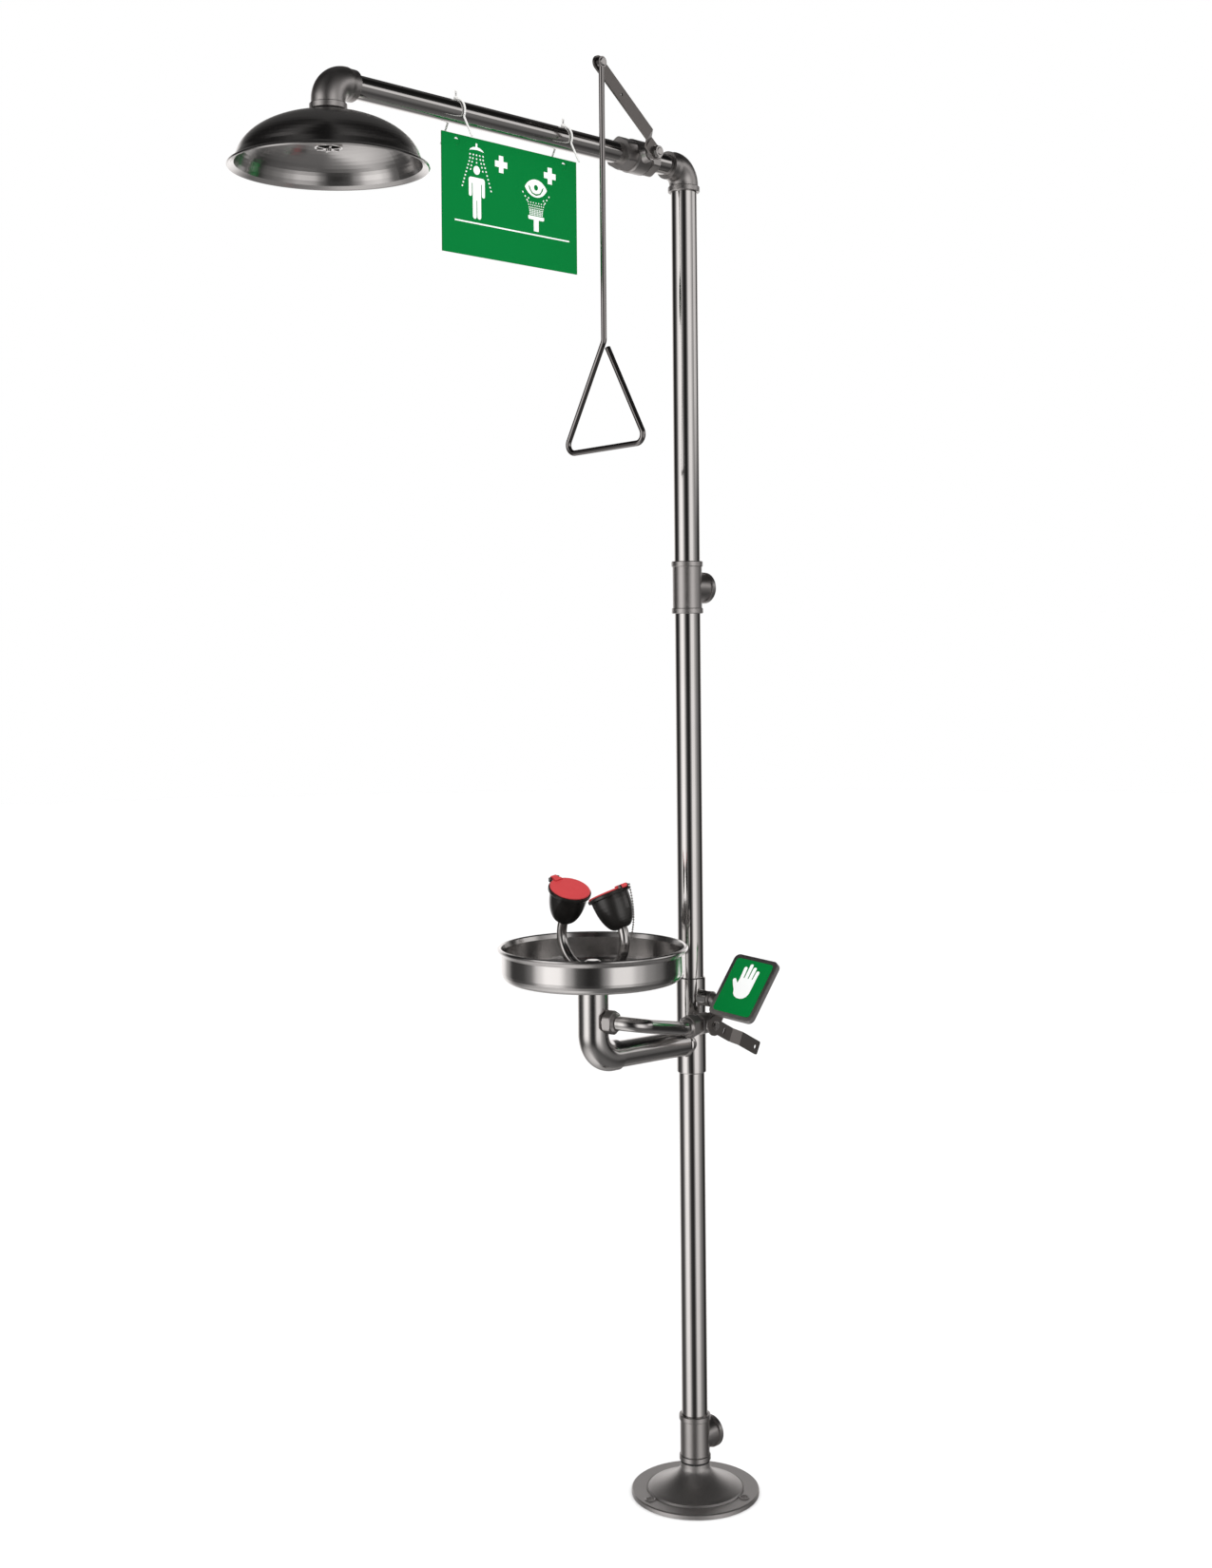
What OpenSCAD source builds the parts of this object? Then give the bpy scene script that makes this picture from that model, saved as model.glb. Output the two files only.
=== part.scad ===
// Combination emergency shower and eyewash station, built from its real pieces.
// Units are millimetres. Origin: column axis at the floor. +Z up, shower arm towards -X,
// valve handles towards -Y, pipe connections towards +X.

/* [Column] */
// Outside diameter of the column pipe
pipe_od = 42.4; // [42.2:0.1:42.6]
// Wall thickness of the column pipe
pipe_wall = 2.6; // [2:0.1:3.2]
// Height of the shower arm's axis above the floor
arm_z = 2152; // [2140:1:2180]
// Height of the inlet tee's branch
inlet_z = 1471; // [1400:1:1540]
// Height of the waste tee's branch
waste_z = 88; // [88:1:110]

/* [Base] */
// Radius of the floor flange
base_r = 103.5; // [102:0.5:115]
// Radius of the screw circle
screw_circle_r = 87; // [86:0.5:88]
// Radius of each screw hole
screw_hole_r = 5.5; // [4:0.5:6]

/* [Shower] */
// Distance from column axis to shower head axis
reach = 733; // [700:1:760]
// Outside diameter of the shower arm pipe
arm_od = 34; // [33.4:0.1:34.2]
// Radius of the shower head's rim
head_r = 137; // [125:1:140]
// Height of the shower head's rim
head_z = 2034; // [2032:1:2036]
// Distance along the arm from column to shower valve stem
valve_x = 119; // [110:1:125]
// Lever length from stem to rod pin
lever_len = 178; // [170:1:190]
// Angle of the closed lever above the horizontal
lever_up = 37.6; // [30:0.1:40]
// Width of the lever
lever_w = 22; // [18:1:24]
// Radius of the pull rod
rod_r = 4.4; // [4:0.1:5]
// Length of the pull rod from pin to the handle's apex
rod_len = 425; // [380:1:460]
// Height of the triangular handle
grip_h = 158; // [120:1:160]
// Width of the triangular handle between its unrounded corners
grip_w = 171; // [130:1:175]

/* [Sign] */
// Width of the sign board
sign_w = 276; // [200:1:280]
// Height of the sign board
sign_h = 172; // [150:1:180]

/* [Eyewash] */
// Distance from column axis to bowl axis
bowl_x = 230; // [228:1:232]
// Outside radius of the bowl wall
bowl_r = 141; // [130:1:144]
// Height of the bowl's rim
bowl_z = 917; // [915:1:919]
// Height of the drain arm's axis at the column
drain_z = 733; // [730:1:735]
// Half the distance between the nozzle stems at the cups
nozzle_y = 63; // [60:1:66]
// Height of the cup bases
cup_z = 950; // [948:1:956]
// Height of a cup from base to rim
cup_h = 56; // [52:1:58]
// Radius of a cup's rim
cup_r = 34; // [32:0.5:35]
// Tilt of each cup towards the other
cup_in = 23; // [18:1:25]
// Tilt of each cup away from the column
cup_out = 8; // [0:1:10]

/* [Eyewash valve] */
// Distance of the valve stem from the column axis, along the arm
stem_x = 38; // [37:1:39]
// Distance of the valve's flow axis from the column axis, to the front
flow_y = 56; // [55:1:57]
// Height of the valve's flow axis
flow_z = 775; // [774:1:776]
// Width of the push plate
push_w = 88; // [80:1:92]
// Height of the push plate along its own slope
push_h = 109; // [90:1:110]

/* [Hidden] */
$fn = 96;
EPS = 0.01;
CLEAR = 0.1;          // radial gap of a screwed or welded pipe joint
LAP = 0.3;            // how far a straight runs on into a bend
SWELL = 0.02;         // a bend is this much fatter than the straights that lap into it
pr = pipe_od / 2;
pi_r = pr - pipe_wall;
socket_r = pr + CLEAR;
STEEL = [0.62, 0.60, 0.58];
CAST = [0.50, 0.48, 0.46];
DARK = [0.25, 0.24, 0.24];
GREEN = [0.0, 0.42, 0.20];
WHITE = [0.92, 0.92, 0.92];
RED = [0.80, 0.12, 0.13];
BLACK = [0.06, 0.06, 0.06];
BRASS = [0.78, 0.62, 0.32];

// column stack, from the floor up
engage = 20;                          // how far a pipe enters a fitting
neck_z = 51;                          // top of the base flange's neck
neck_r = 24;
bell_r = 76;                          // foot of the raised bell
flange_t = 8;
seal_t = 3;
tee_r = 23.8;
band_r = 25.5;
band_l = 9;
branch_l = 43;
branch_bore_r = 19.5;
tee_bottom_z = neck_z + seal_t;
tee_top_z = waste_z + 40;
inlet_bottom_z = inlet_z - 42;
inlet_top_z = inlet_z + 43;
sleeve_r = 24.15;
sleeve_z0 = 684;
sleeve_z1 = 839;
outlet_z = 807;
outlet_r = 12.6;
outlet_bore_r = 8;
upper_pipe_z0 = 824;                  // the middle pipe stops above the outlet
elbow_down = 38;                      // at the column
head_down = 41;                       // at the shower head
elbow_side = 42;
elbow_bend = 27;
elbow_r = 23.4;
side_r = 20.8;
side_band_r = 22.3;
arm_r = arm_od / 2;
arm_bore_r = 14.2;
arm_socket_r = arm_r + CLEAR;

// shower head
dome_r = head_r - 11;
dome_z = head_z + 4;
dome_h = 70;
sheet_t = 1.5;
head_seat_r = 24;
head_top_z = dome_z + dome_h * sqrt(1 - pow(head_seat_r / dome_r, 2));
head_nipple_r = 16.5;
deflector_z = 2058;

// shower valve
valve_half = 38;
lever_t = 3.5;
lever_hub_y = 43.3;                   // inner face of the lever at the stem
lever_tip_y = 55.3;                   // inner face of the lever beyond its bend
pin_x = valve_x + lever_len * cos(lever_up);
pin_z = arm_z + lever_len * sin(lever_up);
rod_y = lever_tip_y + lever_t + 0.4 + rod_r;
eye_t = 6;
shower_stem_r = 5;

// sign
sign_x = 390;
sign_top = arm_z - 31;
sign_t = 2;
tie_x = [sign_x - 111, sign_x + 109];
tie_hole_z = sign_top - 10;
tie_hole_r = 5.5;
tie_r = 1.5;
tie_loop_r = arm_r + tie_r + 0.4;

// bowl and drain
bowl_floor_z = bowl_z - 53;
bowl_corner = 16;
bowl_hole_r = 22;
leg_r = 24;
leg_bore_r = 21.2;
leg_top_z = bowl_floor_z - 14;
bend_r = 40;
drain_fall = 2.5;                     // degrees of fall towards the column
leg_foot_z = drain_z + (bowl_x - bend_r * (1 - sin(drain_fall))) * tan(drain_fall)
    - bend_r * (1 - cos(drain_fall));
riser_r = 10.65;
riser_bore_r = 8;
boss_z = 802;
manifold_z = 880;
nozzle_tube_r = 8;
nozzle_tube_bore = 6;
nozzle_lean = 18;

// cups and caps
cup_base_r = 9.5;
cup_side_r = 30;
cup_band = 6;
cap_r = 32;
cap_t = 3;
hinge_y = 36.5;
hinge_z = cup_h + 1.6;
hinge_r = 1.5;

// eyewash valve and its handle
flow_half = 22;
union_l = 20;
plate_t = 3;
plate_y = 80.5;                       // inner face of the handle plate
disc_r = 16;
strip_angle = -27.6;
strip_len = 108;
strip_w = 22;
strip_step = 10;
push_tilt = 38;
push_t = 8;
push_wall = 1.6;
push_inner_y = 72;
push_low_x = 45;
push_roll = 4;                        // the plate's outer edge dips
push_low_z = 796;
valve_stem_r = 4;

// ---------- shared shapes ----------

// a straight tube along +Z
module tube(l, ro, ri) {
    difference() {
        cylinder(h = l, r = ro);
        translate([0, 0, -1]) cylinder(h = l + 2, r = ri);
    }
}

// a short cylinder along +Z with bevelled rims
module band(l, r, bevel = 1) {
    rotate_extrude()
        polygon([[0, 0], [r - bevel, 0], [r, bevel], [r, l - bevel], [r - bevel, l], [0, l]]);
}

// a hexagonal nut blank along +Z, its corners rounded by a bevelled band
module hex(l, flats) {
    intersection() {
        cylinder(h = l, r = flats / sqrt(3), $fn = 6);
        band(l, flats / 2 * 1.12, 1.2);
    }
}

// turn a shape that points along +Z so that it points along the named direction
module to_neg_x() { rotate([0, -90, 0]) children(); }
module to_pos_x() { rotate([0, 90, 0]) children(); }
module to_neg_y() { rotate([90, 0, 0]) children(); }

// one straight of a bent rod that starts at the origin along +Z and laps into its bends
module straight(l, r, lead = LAP, tail = LAP) {
    translate([0, 0, -lead]) cylinder(h = l + lead + tail, r = r);
}

// a bend that starts at the origin along +Z and turns towards +X
module bend(radius, angle, r) {
    translate([radius, 0, 0]) rotate([90, 0, 180])
        rotate_extrude(angle = angle) translate([radius, 0]) circle(r + SWELL);
}

// moves its children to the end of such a bend
module after_bend(radius, angle) {
    translate([radius, 0, 0]) rotate([0, angle, 0]) translate([-radius, 0, 0]) children();
}
module after_straight(l) { translate([0, 0, l]) children(); }

// a pipe tee: its run along Z from z0 to z1, its branch along +X at zc
module tee(z0, z1, zc) {
    difference() {
        union() {
            translate([0, 0, z0]) cylinder(h = z1 - z0, r = tee_r);
            translate([0, 0, z0]) band(band_l, band_r);
            translate([0, 0, z1 - band_l]) band(band_l, band_r);
            translate([0, 0, zc]) to_pos_x() cylinder(h = branch_l - 2, r = tee_r - 0.8);
            translate([branch_l - band_l, 0, zc]) to_pos_x() band(band_l, band_r);
        }
        translate([0, 0, z0 - 1]) cylinder(h = z1 - z0 + 2, r = pi_r);
        translate([0, 0, z0 - 1]) cylinder(h = engage + 1, r = socket_r);
        translate([0, 0, z1 - engage]) cylinder(h = engage + 1, r = socket_r);
        translate([0, 0, zc]) to_pos_x() cylinder(h = branch_l + 1, r = branch_bore_r - 1);
        translate([branch_l - 24, 0, zc]) to_pos_x() cylinder(h = 25, r = branch_bore_r);
    }
}

// a reducing elbow round the corner at the origin: large end down, small end towards -X
module reducing_elbow(down) {
    difference() {
        union() {
            elbow_core(elbow_r, side_r + 1.4, down);
            translate([0, 0, -down]) band(band_l, band_r + 0.3);
            translate([-elbow_side + band_l, 0, 0]) to_neg_x() band(band_l, side_band_r);
        }
        elbow_core(pi_r - 3, arm_bore_r, down);
        translate([0, 0, -down - 1]) cylinder(h = 17, r = socket_r);
        translate([-elbow_side - 1, 0, 0]) to_pos_x() cylinder(h = 17, r = arm_socket_r);
    }
}
module elbow_core(r_down, r_side, down) {
    translate([0, 0, -down]) cylinder(h = down - elbow_bend, r = r_down);
    translate([-elbow_bend, 0, -elbow_bend]) rotate([90, 0, 0])
        rotate_extrude(angle = 90) translate([elbow_bend, 0]) circle(r_down);
    translate([-elbow_bend + EPS, 0, 0]) to_neg_x()
        cylinder(h = 6, r1 = r_down, r2 = r_side);
    translate([-elbow_bend - 5, 0, 0]) to_neg_x() cylinder(h = elbow_side - elbow_bend - 5, r = r_side);
}

// ---------- column ----------

module base_flange() {
    color(CAST) difference() {
        union() {
        rotate_extrude() polygon(concat(
            [[base_r - 1, 0], [base_r, 1], [base_r, flange_t - 1.5], [base_r - 1.5, flange_t],
             [bell_r + 4, flange_t], [bell_r + 2, flange_t - 1], [bell_r, flange_t + 2.5]],
            [for (a = [6:6:84]) bell_point(a, 0)],
            [[neck_r, neck_z - 6], [neck_r, neck_z], [pr + CLEAR, neck_z], [pr + CLEAR, 28], [pi_r, 28],
             [pi_r, 20]],
            [for (a = [60:-6:0]) bell_point(a, 6)],
            [[bell_r - 6, 0]]));
        for (a = [45, 165, 285]) rotate(a) translate([screw_circle_r, 0, 1]) band(flange_t + 0.2, 9, 1);
        }
        for (a = [45, 165, 285]) rotate(a) translate([screw_circle_r, 0, -1]) {
            cylinder(h = flange_t + 4, r = screw_hole_r);
            translate([0, 0, flange_t + 1.2]) cylinder(h = 1.2, r1 = screw_hole_r, r2 = screw_hole_r + 1.2);
        }
    }
}
// a point on the bell's side, between a quarter curve and a cone, moved inwards by t
function bell_point(a, t) = [
    bell_r - (bell_r - neck_r) * sin(a) - t * (1 - sin(a)) * 0.9 - 0.4 * t * sin(a),
    flange_t + 3 + (neck_z - 9 - flange_t) * (0.55 * (1 - cos(a)) + 0.45 * sin(a))
        - t * cos(a) * 0.95 - t * 0.3];

module base_seal_ring() {
    color(BLACK) translate([0, 0, neck_z]) tube(seal_t, neck_r - 1, pr + CLEAR);
}

module base_nipple() {
    color(STEEL) translate([0, 0, 30]) tube(tee_bottom_z + 12 - 30, pr, pi_r);   // ends below the branch
}

module bottom_tee() {
    color(CAST) tee(tee_bottom_z, tee_top_z, waste_z);
}

module column_pipe(z0, z1) {
    color(STEEL) translate([0, 0, z0]) tube(z1 - z0, pr, pi_r);
}
module lower_column() { column_pipe(tee_top_z - engage + 1, sleeve_z0 + engage); }
module middle_column() { column_pipe(upper_pipe_z0, inlet_bottom_z + engage - 1); }
module upper_column() { column_pipe(inlet_top_z - engage + 1, arm_z - elbow_down + 15); }

// welded sleeve that carries the eyewash: drain inlet below, water outlet above the plug
module column_sleeve() {
    color(STEEL) difference() {
        union() {
            translate([0, 0, sleeve_z0]) band(sleeve_z1 - sleeve_z0, sleeve_r, 1.5);
            translate([0, -sleeve_r + 3, outlet_z]) to_neg_y() cylinder(h = 18.6, r = outlet_r);
            translate([-sleeve_r + 3, 0, drain_z]) to_neg_x() cylinder(h = 2, r1 = pr + 2, r2 = pr + 1);
        }
        translate([0, 0, sleeve_z0 - 1]) cylinder(h = sleeve_z1 - sleeve_z0 + 2, r = socket_r);
        translate([0, 0, drain_z]) rotate([0, drain_fall - 90, 0]) cylinder(h = sleeve_r + 4, r = pr + CLEAR);
        translate([0, 0, outlet_z]) to_neg_y() cylinder(h = sleeve_r + 20, r = outlet_bore_r);
    }
}

module separator_plug() {
    color(STEEL) translate([0, 0, 766]) cylinder(h = 12, r = pr);
}

module inlet_tee() {
    color(CAST) tee(inlet_bottom_z, inlet_top_z, inlet_z);
}

module top_elbow() {
    color(CAST) translate([0, 0, arm_z]) reducing_elbow(elbow_down);
}

// ---------- shower valve ----------

module arm_nipple() {
    color(STEEL) translate([-elbow_side + 14, 0, arm_z]) to_neg_x()
        tube(valve_x - valve_half + 12 - elbow_side + 14, arm_r - 0.2, arm_bore_r);
}

module shower_valve_body() {
    color(CAST) translate([-valve_x, 0, arm_z]) difference() {
        union() {
            translate([valve_half, 0, 0]) to_neg_x() hex(17, 46);
            translate([valve_half - 15, 0, 0]) to_neg_x() cylinder(h = 6, r1 = 22, r2 = 26.5);
            translate([valve_half - 21, 0, 0]) to_neg_x() band(31, 26.5, 2);
            translate([0, -22, 0]) to_neg_y() cylinder(h = 12, r1 = 14, r2 = 11);
            translate([0, -34, 0]) to_neg_y() cylinder(h = 3.5, r = 9);
        }
        translate([valve_half + 1, 0, 0]) to_neg_x() cylinder(h = 15, r = arm_socket_r);
        translate([valve_half, 0, 0]) to_neg_x() cylinder(h = valve_half, r = 12.5);
        translate([13.9, 0, 0]) to_neg_x() cylinder(h = 30, r = 19.5);
        translate([0, 0, 0]) to_neg_y() cylinder(h = 40, r = shower_stem_r + 0.06);
    }
}

module shower_valve_end() {
    color(CAST) translate([-valve_x - 14, 0, arm_z]) difference() {
        union() {
            to_neg_x() cylinder(h = 3, r = 24);
            translate([-3, 0, 0]) to_neg_x() hex(21, 47);
        }
        translate([5, 0, 0]) to_neg_x() cylinder(h = 20, r = 12.5);
        translate([-9, 0, 0]) to_neg_x() cylinder(h = 17, r = arm_socket_r);
    }
}

module ball(r, bore) {
    difference() {
        sphere(r);
        to_pos_x() translate([0, 0, -r]) cylinder(h = 2 * r, r = bore);
    }
}

// the closed ball's bore stands across the flow
module shower_valve_ball() {
    color(STEEL) translate([-valve_x, 0, arm_z]) rotate([0, 90, 0]) difference() {
        ball(17, 12.4);
        translate([0, -18, 0]) cube([5.4, 5, 8.4], center = true);
    }
}

module shower_valve_seats() {
    color(WHITE) for (side = [-1, 1]) translate([-valve_x, 0, arm_z]) rotate([0, side * 90, 0])
        rotate_extrude() polygon([[12.5, 11.8], [15.2, 8.4], [19.3, 8.4], [19.3, 13.8], [12.5, 13.8]]);
}

module shower_valve_stem() {
    color(STEEL) translate([-valve_x, 0, arm_z]) {
        translate([0, -17.8, 0]) cube([8, 4, 5], center = true);
        translate([0, -19, 0]) to_neg_y() cylinder(h = 34, r = shower_stem_r);
    }
}

module shower_gland_nut() {
    color(STEEL) translate([-valve_x, -37.6, arm_z]) to_neg_y() difference() {
        hex(5.2, 21);
        translate([0, 0, -1]) cylinder(h = 8, r = shower_stem_r + 0.06);
    }
}

// ---------- shower lever and pull rod ----------

// children drawn in the lever's own frame: +X along the lever, Z to the front
module lever_frame() {
    translate([-valve_x, 0, arm_z]) rotate([0, lever_up, 0]) rotate([90, 0, 180]) mirror([0, 0, 1])
        children();
}

lever_bend0 = 21;
lever_bend1 = 34;
module shower_lever() {
    rise = lever_tip_y - lever_hub_y;
    color(DARK) lever_frame() difference() {
        union() {
            translate([0, 0, lever_hub_y]) cylinder(h = lever_t, r = lever_w / 2 + 1);
            translate([0, -lever_w / 2, lever_hub_y]) cube([lever_bend0, lever_w, lever_t]);
            rotate([90, 0, 0]) translate([0, 0, -lever_w / 2]) linear_extrude(lever_w)
                polygon([[lever_bend0, lever_hub_y], [lever_bend1, lever_hub_y + rise],
                    [lever_bend1, lever_hub_y + rise + lever_t], [lever_bend0, lever_hub_y + lever_t]]);
            translate([lever_bend1, -lever_w / 2, lever_tip_y])
                cube([lever_len - lever_bend1, lever_w, lever_t]);
            translate([lever_len, 0, lever_tip_y]) cylinder(h = lever_t, r = lever_w / 2);
        }
        cylinder(h = 80, r = shower_stem_r + CLEAR);
        translate([lever_len, 0, 0]) cylinder(h = 80, r = 3.1);
        translate([115, 0, 0]) cylinder(h = 80, r = 2.4);
    }
}

module shower_lever_nut() {
    color(STEEL) translate([-valve_x, -lever_hub_y - lever_t, arm_z]) to_neg_y() difference() {
        union() {
            cylinder(h = 1.2, r = 10);
            translate([0, 0, 1.2]) hex(6.5, 17);
            translate([0, 0, 7]) cylinder(h = 1.6, r1 = 7, r2 = 5);
        }
        translate([0, 0, -1]) cylinder(h = 7.3, r = shower_stem_r + CLEAR);
    }
}

// a planar round wire through pts in the XZ plane, its corners bent to radius b
module wire(pts, r, b) {
    n = len(pts);
    for (i = [0:n - 2]) {
        d = pts[i + 1] - pts[i];
        l = norm(d);
        t0 = i == 0 ? 0 : trim(pts, i, b);
        t1 = i == n - 2 ? 0 : trim(pts, i + 1, b);
        translate([pts[i][0], 0, pts[i][1]]) rotate([0, heading(d), 0]) translate([0, 0, t0])
            straight(l - t0 - t1, r, i == 0 ? 0 : LAP, i == n - 2 ? 0 : LAP);
    }
    for (i = [1:n - 2]) {
        d = pts[i] - pts[i - 1];
        a = turn(pts, i);
        s = pts[i] - d / norm(d) * trim(pts, i, b);
        translate([s[0], 0, s[1]]) rotate([0, heading(d), 0]) rotate([0, 0, a > 0 ? 0 : 180])
            bend(b, abs(a), r);
    }
}
function heading(d) = atan2(d[0], d[1]);
function turn(pts, i) =
    let (a = heading(pts[i + 1] - pts[i]) - heading(pts[i] - pts[i - 1]))
    a > 180 ? a - 360 : a < -180 ? a + 360 : a;
function trim(pts, i, b) = b * tan(abs(turn(pts, i)) / 2);

grip_skew = 4;                        // the far corner hangs a little lower
module pull_rod() {
    apex = pin_z - rod_len;
    color(STEEL) translate([-pin_x, -rod_y, 0]) {
        translate([0, eye_t / 2, pin_z]) to_neg_y() difference() {
            cylinder(h = eye_t, r = 8.5);
            translate([0, 0, -1]) cylinder(h = eye_t + 2, r = 3.05);
        }
        translate([0, 0, apex + 14]) cylinder(h = rod_len - 14 - 7.5, r = rod_r);
        rotate(-90) {
            wire([[0, apex + 14], [0, apex + 4], [-grip_w / 2, apex - grip_h - grip_skew],
                [grip_w / 2, apex - grip_h + grip_skew], [7.5, apex - 7]], rod_r, 13);
        }
    }
}

module pull_rod_pin() {
    back = lever_tip_y - 2.6;
    color(STEEL) translate([-pin_x, -back, pin_z]) to_neg_y() {
        cylinder(h = 2.4, r1 = 5, r2 = 6);
        cylinder(h = rod_y + eye_t / 2 + 0.4 - back, r = 3);
        translate([0, 0, lever_t + 2.7]) cylinder(h = rod_y - eye_t / 2 - 0.1 - back - lever_t - 2.7, r = 6);
        translate([0, 0, rod_y + eye_t / 2 + 0.3 - back]) cylinder(h = 2, r1 = 6, r2 = 5);
    }
}

// ---------- shower arm and head ----------

module shower_arm() {
    x0 = valve_x + 25;
    x1 = reach - elbow_side + 14;
    color(STEEL) translate([-x0, 0, arm_z]) to_neg_x() tube(x1 - x0, arm_r, arm_bore_r);
}

module head_elbow() {
    color(CAST) translate([-reach, 0, arm_z]) mirror([1, 0, 0]) reducing_elbow(head_down);
}

module head_nipple() {
    top = arm_z - head_down + 14;
    color(STEEL) translate([-reach, 0, 2074]) {
        tube(top - 2074, head_nipple_r, 13);
        translate([0, 0, arm_z - head_down - 2074]) tube(14, pr - 0.1, head_nipple_r - EPS);
    }
}

module head_gasket() {
    color(BLACK) translate([-reach, 0, head_top_z + 0.05])
        tube(arm_z - head_down - head_top_z - 0.1, 22.5, head_nipple_r + CLEAR);
}

module shower_head() {
    inner_r = dome_r - sheet_t;
    inner_h = dome_h - sheet_t;
    color(STEEL) translate([-reach, 0, 0]) rotate_extrude() polygon(concat(
        [[head_nipple_r + CLEAR, head_top_z], [head_seat_r, head_top_z]],
        [for (a = [14:4:82]) [dome_r * sin(a), dome_z + dome_h * cos(a)]],
        [[dome_r + 0.8, dome_z + 6], [dome_r + 3, dome_z + 2], [head_r - 3, head_z + 1.6]],
        [for (a = [90:-45:-90]) [head_r - 1.8 + 1.8 * cos(a), head_z + 0.2 + 1.8 * sin(a)]],
        [[head_r - 4, head_z - 0.6], [dome_r + 1, dome_z - 0.8], [dome_r - 1.2, dome_z + 5]],
        [for (a = [80:-4:16]) [inner_r * sin(a), dome_z + inner_h * cos(a)]],
        [[head_seat_r - 1, head_top_z - sheet_t], [head_nipple_r + CLEAR, head_top_z - sheet_t]]));
}

module head_locknut() {
    color(STEEL) translate([-reach, 0, head_top_z - sheet_t - 8]) difference() {
        hex(8, 42);
        translate([0, 0, -1]) cylinder(h = 10, r = head_nipple_r + CLEAR);
    }
}

// spider that breaks the water up below the nipple
module spray_deflector() {
    color(STEEL) translate([-reach, 0, deflector_z]) {
        difference() {
            translate([0, 0, 2]) cylinder(h = 24, r = 19);
            translate([0, 0, 14]) cylinder(h = 13, r = head_nipple_r + CLEAR);
            translate([0, 0, 1]) cylinder(h = 14, r = 15.5);
        }
        for (a = [0:60:300]) rotate(a) translate([5, -1.5, 0]) cube([12, 3, 4]);
        difference() {
            cylinder(h = 3, r = 7);
            translate([0, 0, -1]) cylinder(h = 5, r = 2.1);
        }
    }
}

module deflector_screw() {
    color(STEEL) translate([-reach, 0, deflector_z]) {
        translate([0, 0, -2.4]) cylinder(h = 2.4, r1 = 3, r2 = 4);
        translate([0, 0, -EPS]) cylinder(h = 9, r = 2);
        translate([0, 0, 3]) hex(3, 7);
    }
}

// ---------- sign ----------

module sign_board() {
    color(GREEN) translate([-sign_x, sign_t / 2, sign_top - sign_h]) rotate([90, 0, 0])
        linear_extrude(sign_t) difference() {
            translate([-sign_w / 2, 0]) square([sign_w, sign_h]);
            for (x = tie_x) translate([sign_x - x, tie_hole_z - sign_top + sign_h]) circle(tie_hole_r);
        }
}

// a cord loop round the arm and through the sign, with its knot and two ends on top
module sign_tie() {
    drop = arm_z - tie_hole_z - 1;
    a = acos(tie_loop_r / drop);
    run = sqrt(drop * drop - tie_loop_r * tie_loop_r);
    translate([0, 0, arm_z]) {
        rotate([0, 0, 90]) rotate([90, 0, 0]) rotate([0, 0, a - 90])
            rotate_extrude(angle = 360 - 2 * a) translate([tie_loop_r, 0]) circle(tie_r);
        for (s = [-1, 1])
            translate([0, s * tie_loop_r * sin(a), -tie_loop_r * cos(a)])
                rotate([s * (90 - a), 0, 0]) rotate([180, 0, 0]) cylinder(h = run, r = tie_r);
        translate([0, 0, tie_loop_r + 2]) sphere(3.4);
        translate([0, 0, tie_loop_r + 3]) rotate([-25, 20, 0]) cylinder(h = 13, r = tie_r * 0.8);
        translate([0, 0, tie_loop_r + 3]) rotate([30, -30, 0]) cylinder(h = 10, r = tie_r * 0.8);
    }
}
module sign_ties() {
    color(WHITE) for (x = tie_x) translate([-x, 0, 0]) sign_tie();
}

// ---------- bowl and drain ----------

module eyewash_bowl() {
    t = sheet_t;
    zf = bowl_floor_z;
    rc = bowl_corner;
    color(STEEL) translate([-bowl_x, 0, 0]) rotate_extrude() polygon(concat(
        [[bowl_hole_r, zf - 3], [bowl_r - rc, zf]],
        [for (a = [15:15:90]) [bowl_r - rc + rc * sin(a), zf + rc - rc * cos(a)]],
        [[bowl_r, bowl_z - 11]],
        [for (a = [-60:30:180]) [bowl_r + 3 + 3.2 * cos(a), bowl_z - 3.2 + 3.2 * sin(a)]],
        [[bowl_r - t, bowl_z - 8]],
        [for (a = [90:-15:0]) [bowl_r - rc + (rc - t) * sin(a), zf + rc - (rc - t) * cos(a)]],
        [[bowl_hole_r, zf - 3 + t]]));
}

module bowl_strainer() {
    z = bowl_floor_z - 3 + sheet_t + 0.1;
    color(STEEL) translate([-bowl_x, 0, z]) difference() {
        rotate_extrude() polygon([[riser_r + 0.4, 3.2], [20, 2.4], [30, 0.9], [31, 0.6], [31, 2], [20, 4],
            [riser_r + 0.4, 4.8]]);
        for (a = [0:30:330]) rotate(a) translate([16, 0, -1]) cylinder(h = 8, r = 1.8);
        for (a = [15:30:345]) rotate(a) translate([22.5, 0, -1]) cylinder(h = 8, r = 1.8);
    }
}

module drain_flange() {
    color(CAST) translate([-bowl_x, 0, 0]) difference() {
        union() {
            translate([0, 0, leg_top_z + 3]) band(bowl_floor_z - 3.1 - leg_top_z - 3, 27, 1);
            translate([0, 0, leg_top_z]) cylinder(h = 4, r1 = 24.5, r2 = 27);
        }
        translate([0, 0, leg_top_z - 1]) cylinder(h = 30, r = leg_bore_r - 1);
        translate([0, 0, leg_top_z - 1]) cylinder(h = 4, r = leg_r + CLEAR);
    }
}

// the drain's vertical leg, bend and short run, drawn with wall radius r
module drain_run(r, extra = 0) {
    translate([-bowl_x, 0, leg_top_z + 2 + extra]) rotate([180, 0, 0]) {
        down = leg_top_z + 2 + extra - leg_foot_z - bend_r;
        straight(down, r, 0);
        after_straight(down) {
            bend(bend_r, 90 - drain_fall, r);
            after_bend(bend_r, 90 - drain_fall) straight(10 + extra, r, LAP, 0);
        }
    }
}

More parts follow.
